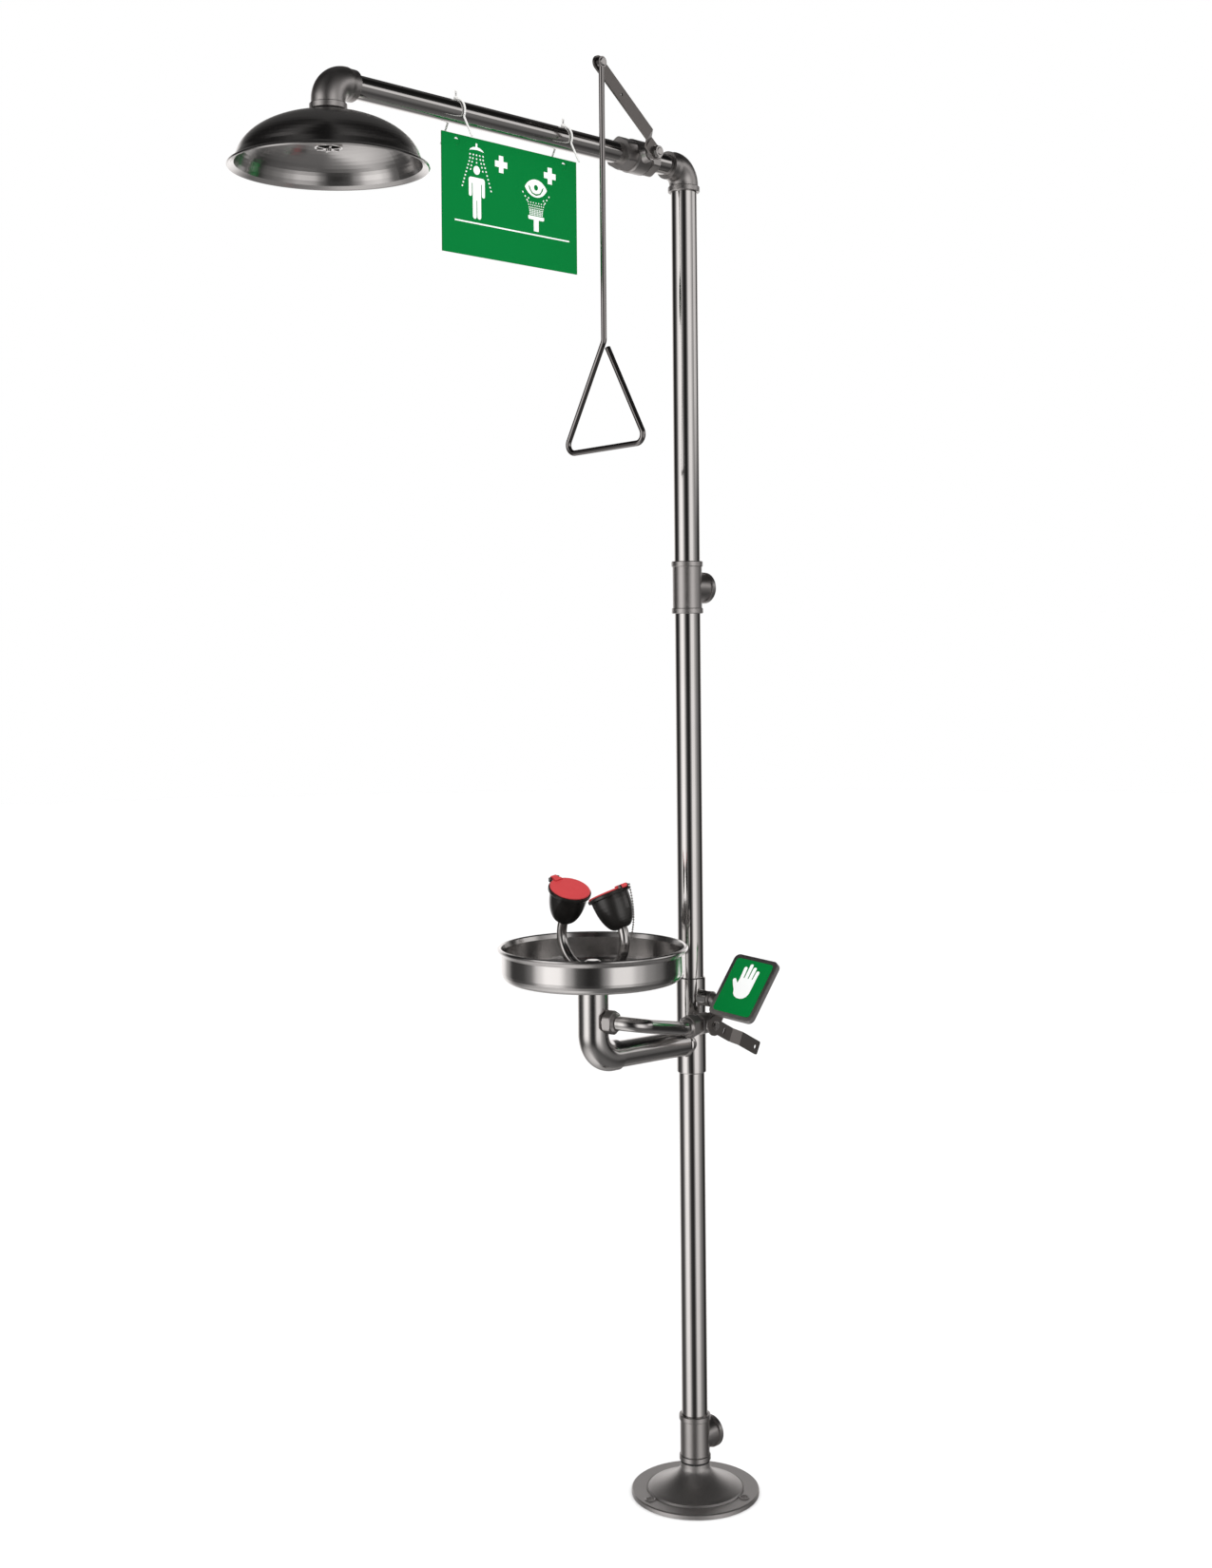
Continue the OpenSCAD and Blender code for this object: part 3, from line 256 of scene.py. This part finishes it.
def metal(name, colour, rough, spread, grain_place=None, grain=(0, 0), anisotropy=0.0, smudge=0.06,
          pits=(0, 0)):
    """A bare metal. rough is its mean roughness and spread how much that wanders.
    grain is (scale, depth in mm) of brush lines over grain_place, pits the same of blasted dimples."""
    material, n, shader, place = new_material(name)
    shader.inputs["Metallic"].default_value = 1
    shader.inputs["Anisotropic"].default_value = anisotropy
    if anisotropy:
        tangent = n.add("ShaderNodeTangent", direction_type="RADIAL", axis="Z")
        n.put(tangent.outputs[0], shader.inputs["Tangent"])
        shader.inputs["Anisotropic Rotation"].default_value = BRUSH_TURN
    cloud = n.noise(place, 14, 3, 0.6)
    dark = tuple(c * (1 - smudge) for c in colour)
    light = tuple(min(1, c * (1 + smudge)) for c in colour)
    n.put(n.mix(cloud, (*dark, 1), (*light, 1)), shader.inputs["Base Color"])
    fine = cloud
    if grain[0]:
        where = grain_place(n, place)
        fine = n.noise(where, grain[0], 3, 0.65)
        n.put(n.bump(fine, 0.5, grain[1] * MM), shader.inputs["Normal"])
    if pits[0]:
        fine = n.noise(place, pits[0], 2, 0.6)
        n.put(n.bump(fine, 0.6, pits[1] * MM), shader.inputs["Normal"])
    mixed = n.math("ADD", n.math("MULTIPLY", cloud, 0.5), n.math("MULTIPLY", fine, 0.5))
    n.put(n.span(mixed, rough - spread, rough + spread), shader.inputs["Roughness"])
    return material


def along(*stretch):
    """Place for grain that is stretched by these factors along X, Y and Z."""
    return lambda n, place: n.vector("MULTIPLY", place, stretch)


def round_axis(point):
    return lambda n, place: ring_place(n, place, point)


def plastic(name, colour, rough, wobble=0.0, coat=0.0, mottle=0.05, specular=0.5):
    """A moulded or painted surface with a faint ripple and slightly uneven colour."""
    material, n, shader, place = new_material(name)
    cloud = n.noise(place, 25, 3, 0.6)
    dark = tuple(c * (1 - mottle) for c in colour)
    light = tuple(min(1, c * (1 + mottle)) for c in colour)
    n.put(n.mix(cloud, (*dark, 1), (*light, 1)), shader.inputs["Base Color"])
    n.put(n.span(n.noise(place, 220, 2), rough * 0.85, rough * 1.15), shader.inputs["Roughness"])
    shader.inputs["Specular IOR Level"].default_value = specular
    shader.inputs["Coat Weight"].default_value = coat
    shader.inputs["Coat Roughness"].default_value = COAT_ROUGH
    if wobble:
        n.put(n.bump(n.noise(place, 380, 2), 0.4, wobble * MM), shader.inputs["Normal"])
    return material


def cord_material(name, colour):
    """Twisted cord: slanted strands as a bump, and painted shade that darkens the valleys between them."""
    material, n, shader, place = new_material(name)
    wave = n.add("ShaderNodeTexWave", wave_type="BANDS", bands_direction="DIAGONAL")
    n.put(place, wave.inputs["Vector"])
    wave.inputs["Scale"].default_value = 260
    wave.inputs["Distortion"].default_value = 1.5
    strands = wave.outputs["Fac"]
    # painted shade: the colour falls to 0.6 of itself in the valleys between the strands
    n.put(n.mix(strands, tuple(c * 0.6 for c in colour) + (1,), (*colour, 1)), shader.inputs["Base Color"])
    shader.inputs["Roughness"].default_value = 0.75
    shader.inputs["Sheen Weight"].default_value = 0.3
    n.put(n.bump(strands, 0.6, 0.4 * MM), shader.inputs["Normal"])
    return material


STEEL = (0.66, 0.645, 0.635)
PALE_STEEL = (0.72, 0.705, 0.695)
CAST = (0.58, 0.56, 0.55)
DARK = (0.30, 0.28, 0.27)
bowl_axis = centre("eyewash_bowl")
head_axis = centre("shower_head")

MATERIALS = {
    "pipe_z": metal("pipe_upright", STEEL, 0.09, 0.02, along(900, 900, 6), (1, 0.002)),
    "pipe_x": metal("pipe_level", STEEL, 0.11, 0.02, along(6, 900, 900), (1, 0.002)),
    "pipe_bent": metal("pipe_bent", STEEL, 0.17, 0.04, along(300, 300, 300), (1, 0.004)),
    "cast": metal("cast_fitting", CAST, 0.38, 0.06, pits=(1500, 0.04), smudge=0.10),
    "base": metal("base_cast", (0.72, 0.70, 0.69), 0.50, 0.06, pits=(900, 0.05), smudge=0.10),
    "bowl": metal("bowl_spun", PALE_STEEL, 0.20, 0.04, round_axis(bowl_axis), (1400, 0.006), 0.7),
    "head": metal("head_spun", STEEL, 0.20, 0.04, round_axis(head_axis), (1200, 0.008), 0.7),
    "lever": metal("lever_plate", DARK, 0.42, 0.06, along(250, 250, 250), (1, 0.01), smudge=0.08),
    "rod": metal("rod_drawn", (0.33, 0.315, 0.31), 0.12, 0.03),
    "fastener": metal("fastener", (0.58, 0.56, 0.55), 0.26, 0.05, pits=(900, 0.02)),
    "chrome": metal("ball_chrome", (0.72, 0.72, 0.73), 0.06, 0.02, smudge=0.02),
    "seat": plastic("seat_white", (0.82, 0.82, 0.80), 0.45),
    "seal": plastic("seal_black", (0.03, 0.03, 0.03), 0.6, 0.02),
    "green": plastic("sign_green", (0.0, 0.165, 0.032), 0.5, 0.004, mottle=0.03, specular=0.04),
    "white": plastic("sign_white", (0.86, 0.87, 0.86), 0.38, mottle=0.02),
    "cord": cord_material("tie_cord", (0.85, 0.84, 0.82)),
    "plate": metal("push_plate_brushed", PALE_STEEL, 0.48, 0.05, along(300, 300, 300), (1, 0.008)),
    "cup": plastic("cup_black", (0.016, 0.015, 0.014), 0.22, 0.01, coat=0.3),
    "insert": plastic("insert_grey", (0.50, 0.52, 0.53), 0.4),
    "red": plastic("cap_red", (0.53, 0.045, 0.050), 0.36, 0.008),
}

NODE_MATERIAL = {
    "base": ["base_flange"],
    "cast": ["bottom_tee", "inlet_tee", "top_elbow", "shower_valve_body",
             "shower_valve_end", "head_elbow", "drain_flange", "union_nuts", "eyewash_valve_body",
             "valve_elbows"],
    "pipe_z": ["base_nipple", "lower_column", "middle_column", "upper_column", "column_sleeve",
               "separator_plug", "riser_pipe", "head_nipple", "nozzle_manifold"],
    "pipe_x": ["arm_nipple", "shower_arm"],
    "pipe_bent": ["drain_elbow", "drain_arm", "nozzle_tube_left", "nozzle_tube_right", "supply_tube"],
    "plate": ["push_plate"],
    "bowl": ["eyewash_bowl", "bowl_strainer"],
    "head": ["shower_head", "spray_deflector"],
    "lever": ["shower_lever", "handle_plate"],
    "rod": ["pull_rod"],
    "fastener": ["shower_gland_nut", "shower_lever_nut", "pull_rod_pin", "head_locknut",
                 "deflector_screw", "cap_hinge_pins", "cap_chains", "eyewash_gland_nut",
                 "handle_screw", "shower_valve_stem", "eyewash_valve_stem"],
    "chrome": ["shower_valve_ball", "eyewash_valve_ball"],
    "seat": ["shower_valve_seats", "eyewash_valve_seats"],
    "seal": ["base_seal_ring", "head_gasket"],
    "green": ["sign_board", "push_decal"],
    "cord": ["sign_ties"],
    "cup": ["nozzle_cup_left", "nozzle_cup_right"],
    "insert": ["spray_inserts"],
    "red": ["dust_cap_left", "dust_cap_right"],
}
SMOOTH_ANGLE = math.radians(28)


def dress_nodes():
    for key, names in NODE_MATERIAL.items():
        for name in names:
            mesh = nodes[name].data
            mesh.materials.clear()
            mesh.materials.append(MATERIALS[key])
            mesh.shade_smooth()
            mesh.set_sharp_from_angle(angle=SMOOTH_ANGLE)
    left_over = set(nodes) - {n for names in NODE_MATERIAL.values() for n in names}
    if left_over:
        raise RuntimeError(f"nodes with no material: {sorted(left_over)}")


# ---------- new pieces ----------


def new_piece(name, mesh_maker, material, body, smooth=True):
    """A piece from a bmesh, riding on a body."""
    shape = bmesh.new()
    mesh_maker(shape)
    bmesh.ops.recalc_face_normals(shape, faces=shape.faces)
    mesh = bpy.data.meshes.new(name)
    shape.to_mesh(mesh)
    shape.free()
    mesh.materials.append(MATERIALS[material])
    if smooth:
        mesh.shade_smooth()
        mesh.set_sharp_from_angle(angle=SMOOTH_ANGLE)
    piece = bpy.data.objects.new(name, mesh)
    bpy.context.scene.collection.objects.link(piece)
    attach(piece, body)
    return piece


# a print is a list of outlines in mm on a flat sheet; each one is raised a little more than the last,
# so that outlines which overlap never share a face
PRINT_THICK = 0.12
PRINT_STEP = 0.004


def circle_points(x, y, r, count=28):
    return [(x + r * math.cos(2 * math.pi * i / count), y + r * math.sin(2 * math.pi * i / count))
            for i in range(count)]


def box_points(x, y, w, h, slant=0.0):
    return [(x - w / 2, y - h / 2), (x + w / 2, y - h / 2), (x + w / 2 + slant, y + h / 2),
            (x - w / 2 + slant, y + h / 2)]


def capsule(a, b, r, count=10):
    """A bar with round ends from a to b."""
    heading = math.atan2(b[1] - a[1], b[0] - a[0])
    points = []
    for end, start in ((b, heading - math.pi / 2), (a, heading + math.pi / 2)):
        for i in range(count + 1):
            angle = start + math.pi * i / count
            points.append((end[0] + r * math.cos(angle), end[1] + r * math.sin(angle)))
    return points


def cross(x, y, size, bar):
    return [box_points(x, y, size, bar), box_points(x, y, bar, size)]


def lens(x, y, half_width, rise, count=16):
    """A pointed eye outline: two arcs that meet at its corners."""
    turn = 2 * math.atan2(rise, half_width)
    radius = half_width / math.sin(turn)
    upper = []
    for i in range(count + 1):
        angle = -turn + 2 * turn * i / count
        upper.append((x + radius * math.sin(angle), y + radius * (math.cos(angle) - math.cos(turn))))
    return upper + [(2 * x - px, 2 * y - py) for px, py in upper[1:-1]]


def fan(x, top, bottom, half_top, half_bottom, columns, rows, size, straight=0.0):
    """Rows of small square drops between two widths; straight is the share that falls plumb."""
    drops = []
    for row in range(rows):
        t = row / (rows - 1)
        spread = max(0.0, (t - straight) / (1 - straight))
        half = half_top + (half_bottom - half_top) * spread
        y = top + (bottom - top) * t
        for column in columns(t):
            drops.append(box_points(x + half * column, y, size, size * 0.9, -0.5 * column))
    return drops


def print_maker(outlines, place):
    def make(shape):
        for i, outline in enumerate(outlines):
            height = (PRINT_THICK + PRINT_STEP * (i % 12)) * MM
            low = [shape.verts.new(place @ Vector((x * MM, y * MM, 0))) for x, y in outline]
            high = [shape.verts.new(place @ Vector((x * MM, y * MM, height))) for x, y in outline]
            shape.faces.new(high)
            shape.faces.new(low[::-1])
            count = len(outline)
            for k in range(count):
                shape.faces.new((low[k], low[(k + 1) % count], high[(k + 1) % count], high[k]))
    return make


def person(x, foot):
    """A standing figure with hanging arms, its parts as bars and discs."""
    shoulder = foot + 60
    return [
        circle_points(x, foot + 71, 6.4),
        [(x - 8.2, foot + 27), (x + 8.2, foot + 27), (x + 8.2, shoulder - 4), (x - 8.2, shoulder - 4)],
        capsule((x - 11.6, shoulder - 4.2), (x + 11.6, shoulder - 4.2), 4.4),
        capsule((x - 12.9, foot + 35), (x - 12.9, shoulder - 4.4), 3.0),
        capsule((x + 12.9, foot + 35), (x + 12.9, shoulder - 4.4), 3.0),
        capsule((x - 4.5, foot + 3.6), (x - 4.5, foot + 40), 3.7),
        capsule((x + 4.5, foot + 3.6), (x + 4.5, foot + 40), 3.7),
    ]


def shower_pictogram(x):
    rose = [(x - 14.2, 153.2), (x - 12.5, 155.6), (x - 7, 158.4), (x - 1.7, 159.4), (x - 1.7, 164.6),
            (x + 1.7, 164.6), (x + 1.7, 159.4), (x + 7, 158.4), (x + 12.5, 155.6), (x + 14.2, 153.2),
            (x + 10, 154.3), (x, 155.2), (x - 10, 154.3)]
    full = fan(x, 147.5, 99.3, 13.2, 28.8, lambda t: (-1, 1), 10, 2.5, 0.12)
    inner = fan(x, 147.5, 125.5, 6.6, 12.3, lambda t: (-1, 1), 5, 2.4, 0.1)
    middle = fan(x, 147.5, 136.5, 1, 1, lambda t: (0,), 3, 2.4)
    return [rose] + full + inner + middle + person(x, 54.5)


def eye_pictogram(x):
    """An eye over a fountain whose drops open upwards."""
    drops = []
    for y, half, count in ((78.2, 12.4, 9), (80.6, 12.6, 9), (83.0, 12.8, 9), (85.4, 13.2, 9),
                           (88.4, 14.0, 8), (92.2, 15.2, 8), (96.0, 16.6, 7)):
        for i in range(count):
            across = 2 * i / (count - 1) - 1
            drops.append(box_points(x + half * across, y, 1.9, 1.7, 0.3 * across))
    for side in (-1, 1):
        for away, y in ((18.6, 98.4), (15.4, 101.6), (22.4, 103.6), (27.2, 109.2)):
            drops.append(box_points(x + side * away, y, 2.2, 2.2, 0.5 * side))
    bar = [(x - 16.6, 71.8), (x - 14.5, 70.6), (x - 5.2, 70.6), (x + 5.2, 70.6), (x + 14.5, 70.6),
           (x + 16.6, 71.8), (x + 16.6, 76.2), (x - 16.6, 76.2)]
    return drops + [bar, box_points(x, 62.2, 10.2, 17.4)]


def eye_white(x, y):
    return [lens(x, y, 23.2, 13.4)]


def eye_dark(x, y):
    """The green crescents between the lid and the iris, drawn over the white lens."""
    return [[(x - 16.2, y + 3.6), (x - 12.5, y + 1.0), (x - 11.0, y - 3.0), (x - 7.2, y - 6.9), (x, y - 8.4),
             (x + 7.2, y - 6.9), (x + 11.0, y - 3.0), (x + 12.5, y + 1.0), (x + 16.2, y + 3.6),
             (x + 14.0, y - 2.0), (x + 9.0, y - 8.2), (x, y - 10.9), (x - 9.0, y - 8.2), (x - 14.0, y - 2.0)],
            circle_points(x, y + 1.2, 4.2)]


def hand_outlines(w, h):
    """An open right hand seen from its palm, on a w by h field: fingers up, thumb to the left."""
    def at(a, b):
        return (a * w, b * h)
    fingers = [(0.363, 0.835, 0.345), (0.470, 0.902, 0.466), (0.577, 0.858, 0.582), (0.682, 0.802, 0.695)]
    radius = 0.0425 * w
    shapes = [capsule(at(foot, 0.60), at(tip_x, tip), radius) for foot, tip, tip_x in fingers]
    palm = [at(0.315, 0.635), at(0.305, 0.50), at(0.300, 0.42), at(0.325, 0.36), at(0.38, 0.315),
            at(0.46, 0.290), at(0.55, 0.287), at(0.63, 0.305), at(0.69, 0.345), at(0.722, 0.40),
            at(0.730, 0.50), at(0.730, 0.66), at(0.63, 0.665), at(0.42, 0.665)]
    thumb = [at(0.300, 0.42), at(0.225, 0.50), at(0.165, 0.575), at(0.160, 0.605), at(0.185, 0.625),
             at(0.225, 0.622), at(0.262, 0.590), at(0.318, 0.545), at(0.330, 0.50)]
    return shapes + [palm, thumb]


SIGN_GROUND = 48


def add_sign_prints():
    lo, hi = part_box("sign_board")
    shower_x, eye_x, eye_y = 67.5, 188.5, 118
    crosses = cross(116.8, 142.2, 25, 9) + cross(218.2, 141.5, 25, 9)
    ground = [box_points((23.6 + 259) / 2, SIGN_GROUND, 259 - 23.6, 2.1)]
    white = shower_pictogram(shower_x) + eye_pictogram(eye_x) + eye_white(eye_x, eye_y) + crosses + ground
    faces = {
        "front": Matrix.Translation((lo.x, lo.y, lo.z)) @ Matrix.Rotation(math.radians(90), 4, "X"),
        "back": Matrix.Translation((hi.x, hi.y, lo.z)) @ Matrix.Rotation(math.pi, 4, "Z")
        @ Matrix.Rotation(math.radians(90), 4, "X"),
    }
    above = Matrix.Translation((0, 0, (PRINT_THICK + PRINT_STEP * 12) * MM))
    for side, place in faces.items():
        new_piece(f"sign_print_{side}", print_maker(white, place), "white", "sign", False)
        new_piece(f"sign_eye_print_{side}", print_maker(eye_dark(eye_x, eye_y), place @ above), "green",
                  "sign", False)


TIE_HOLES = {"left": -279, "right": -499}
TIE_HOLE_BELOW_TOP = 10
PLUG_R = 5.3
PLUG_FROM, PLUG_SPAN, PLUG_STEPS = 150, 240, 24


def add_hole_plugs():
    """Soft inlays that close the sign's tie holes below the cord."""
    lo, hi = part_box("sign_board")
    level = hi.z - TIE_HOLE_BELOW_TOP * MM
    half = (hi.y - lo.y) / 2 / MM - 0.2
    angles = [math.radians(PLUG_FROM + PLUG_SPAN * i / PLUG_STEPS) for i in range(PLUG_STEPS + 1)]
    for side, x in TIE_HOLES.items():
        outline = [(x + PLUG_R * math.cos(a), PLUG_R * math.sin(a)) for a in angles]

        def make(shape):
            sheets = [[shape.verts.new((px * MM, y * MM, level + pz * MM)) for px, pz in outline]
                      for y in (-half, half)]
            shape.faces.new(sheets[0])
            shape.faces.new(sheets[1][::-1])
            for k in range(len(outline)):
                m = (k + 1) % len(outline)
                shape.faces.new((sheets[0][k], sheets[0][m], sheets[1][m], sheets[1][k]))
        new_piece(f"sign_plug_{side}", make, "green", "sign", False)


def add_hand_print():
    """An open hand on the push plate's green field."""
    decal = nodes["push_decal"].data
    out = max(decal.polygons, key=lambda face: face.area * (face.normal.z - face.normal.x)).normal.copy()
    across = Vector((1, 0, 0)).cross(out).normalized()
    slope = out.cross(across)
    spans = [[v.co.dot(axis) for v in decal.vertices] for axis in (across, slope, out)]
    origin = across * min(spans[0]) + slope * min(spans[1]) + out * max(spans[2])
    place = Matrix.Translation(origin) @ Matrix((across, slope, out)).transposed().to_4x4()
    width, height = ((max(span) - min(span)) / MM for span in spans[:2])
    new_piece("push_hand_print", print_maker(hand_outlines(width, height), place), "white",
              "eyewash_handle", False)


def tube_along(points, radius, ripple=0.0, count=10, closed=False):
    """Mesh maker of a round bead that follows points; ripple swells it like a weld's scales."""
    def make(shape):
        rings = []
        total = len(points)
        for i, point in enumerate(points):
            before = points[i - 1] if closed or i else point
            after = points[(i + 1) % total] if closed or i < total - 1 else point
            axis = (after - before).normalized()
            side = axis.cross(UP if abs(axis.z) < 0.9 else Vector((1, 0, 0))).normalized()
            other = axis.cross(side)
            r = radius * (1 + ripple * math.sin(i * 2.1))
            rings.append([shape.verts.new(point + side * r * math.cos(2 * math.pi * k / count)
                                          + other * r * math.sin(2 * math.pi * k / count))
                          for k in range(count)])
        pairs = list(zip(rings, rings[1:])) + ([(rings[-1], rings[0])] if closed else [])
        for a, b in pairs:
            for k in range(count):
                shape.faces.new((a[k], a[(k + 1) % count], b[(k + 1) % count], b[k]))
        if not closed:
            shape.faces.new(rings[0])
            shape.faces.new(rings[-1][::-1])
    return make


def circle_path(middle, radius, normal, count=96):
    normal = Vector(normal).normalized()
    side = normal.cross(UP if abs(normal.z) < 0.9 else Vector((1, 0, 0))).normalized()
    other = normal.cross(side)
    return [middle + (side * math.cos(2 * math.pi * i / count) + other * math.sin(2 * math.pi * i / count))
            * radius for i in range(count)]


SLEEVE_R, DRAIN_R, LEG_R = 24.15 * MM, 21.1 * MM, 24.2 * MM
DRAIN_Z, DRAIN_FALL = 733 * MM, math.tan(math.radians(2.5))
WELD_SUNK = 0.2 * MM
WELD_RIPPLE = 0.12
WELD_STEPS = 110


def add_welds():
    """Small weld beads where the eyewash pipework is joined."""
    path = []
    for i in range(WELD_STEPS):
        angle = 2 * math.pi * i / WELD_STEPS
        y = DRAIN_R * math.cos(angle)
        x = -math.sqrt(SLEEVE_R ** 2 - y ** 2) - WELD_SUNK
        path.append(Vector((x, y, DRAIN_Z - x * DRAIN_FALL + DRAIN_R * math.sin(angle))))
    flange_lo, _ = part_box("drain_flange")
    middle = Vector((bowl_axis.x, bowl_axis.y, flange_lo.z))
    for name, line, radius in (("weld_drain_sleeve", path, 0.8 * MM),
                               ("weld_drain_leg", circle_path(middle, LEG_R, (0, 0, 1)), 0.9 * MM)):
        new_piece(name, tube_along(line, radius, WELD_RIPPLE, closed=True), "pipe_bent",
                  "frame")


def islands(node):
    """Centres of the separate shells of a node."""
    mesh = nodes[node].data
    parent = list(range(len(mesh.vertices)))

    def find(i):
        while parent[i] != i:
            parent[i] = parent[parent[i]]
            i = parent[i]
        return i
    for edge in mesh.edges:
        a, b = (find(v) for v in edge.vertices)
        parent[a] = b
    groups = {}
    for vertex in mesh.vertices:
        groups.setdefault(find(vertex.index), []).append(vertex.co)
    merged = {}
    for points in groups.values():
        middle = sum(points, Vector()) / len(points)
        merged[tuple(round(c, 4) for c in middle)] = middle
    return list(merged.values())


def add_chain_links():
    """Thin wire between the beads of each ball chain."""
    beads = islands("cap_chains")
    for side, sign in (("left", 1), ("right", -1)):
        chain = sorted((b for b in beads if b.y * sign > 0), key=lambda b: -b.z)
        new_piece(f"chain_wire_{side}", tube_along(chain, 0.45 * MM, count=8), "fastener",
                  "frame")


# ---------- floor ----------

FLOOR_R = 14
FLOOR_GAP = 0.0005

def add_floor():
    mesh = bpy.data.meshes.new("floor")
    shape = bmesh.new()
    bmesh.ops.create_circle(shape, cap_ends=True, segments=96, radius=FLOOR_R)
    shape.to_mesh(mesh)
    shape.free()
    material, n, shader, place = new_material("floor_pale")
    cloud = n.noise(place, 1.5, 3, 0.5)
    n.put(n.mix(cloud, (0.90, 0.90, 0.90, 1), (0.93, 0.93, 0.93, 1)), shader.inputs["Base Color"])
    shader.inputs["Roughness"].default_value = 0.9
    shader.inputs["Specular IOR Level"].default_value = 0.0
    mesh.materials.append(material)
    floor = bpy.data.objects.new("floor", mesh)
    floor.location.z = -FLOOR_GAP
    floor.visible_glossy = False
    bpy.context.scene.collection.objects.link(floor)


bpy.context.scene.view_settings.view_transform = "Standard"
add_camera()
add_world()
add_soft_light("soft_top", (-1.6, -1.8, 4.2), (0, 0, 0.3), 3.0, 60)
add_floor()
dress_nodes()
add_sign_prints()
add_hole_plugs()
add_hand_print()
add_welds()
add_chain_links()
